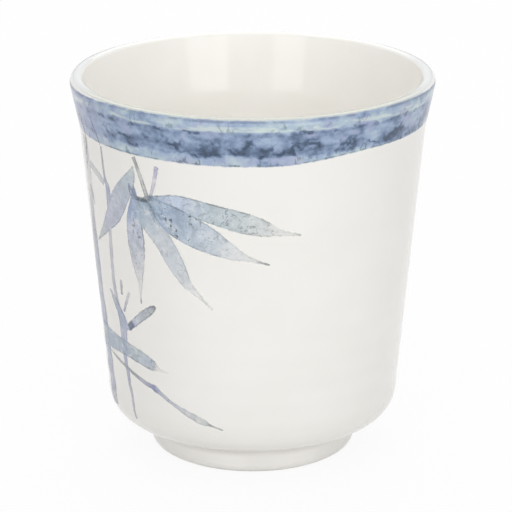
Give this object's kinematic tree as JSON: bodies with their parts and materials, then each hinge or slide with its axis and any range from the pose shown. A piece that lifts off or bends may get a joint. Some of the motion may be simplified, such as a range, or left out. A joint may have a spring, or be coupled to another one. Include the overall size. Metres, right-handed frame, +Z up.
{
  "type": "tea cup",
  "caption": "Handleless tea cup with a flared lip, tapering wall, rounded heel and ring foot, glazed inside and out, with a band at the lip and a painted wall; holds a hot drink.",
  "frame": {"origin": "middle of the foot ring's standing face", "axes": "+Z up along the cup's axis, -Y towards the painted front, +X to the right of that front"},
  "size_m": [0.0802, 0.0802, 0.0857],
  "materials": {
    "bare_clay": "fired off-white clay, bare and slightly rough at the standing edge",
    "white_glaze": "warm white glossy glaze with faint turning rings",
    "blue_wash": "mottled watery blue wash under gloss, darker in blotches and at the lower edge",
    "leaf_paint": "thin blue-grey brush strokes, darker at the base and edges, fading at the tips",
    "stem_paint": "thin grey-blue brush lines under gloss"
  },
  "bodies": {
    "root": {"clay_body": "bare_clay", "foot_ring": "bare_clay", "liner_glaze": "white_glaze", "outer_glaze": "white_glaze", "rim_band": "blue_wash", "main_culm": "stem_paint", "second_culm": "stem_paint", "side_twig": "stem_paint", "hanging_twig": "stem_paint", "short_twig": "stem_paint", "lower_twig_1": "stem_paint", "lower_twig_2": "stem_paint", "low_branch": "stem_paint", "upper_leaf_1": "leaf_paint", "upper_leaf_2": "leaf_paint", "upper_leaf_3": "leaf_paint", "upper_leaf_4": "leaf_paint", "upper_leaf_5": "leaf_paint", "lower_leaf_1": "leaf_paint", "lower_leaf_2": "leaf_paint", "lower_leaf_3": "leaf_paint"}
  },
  "joints": []
}
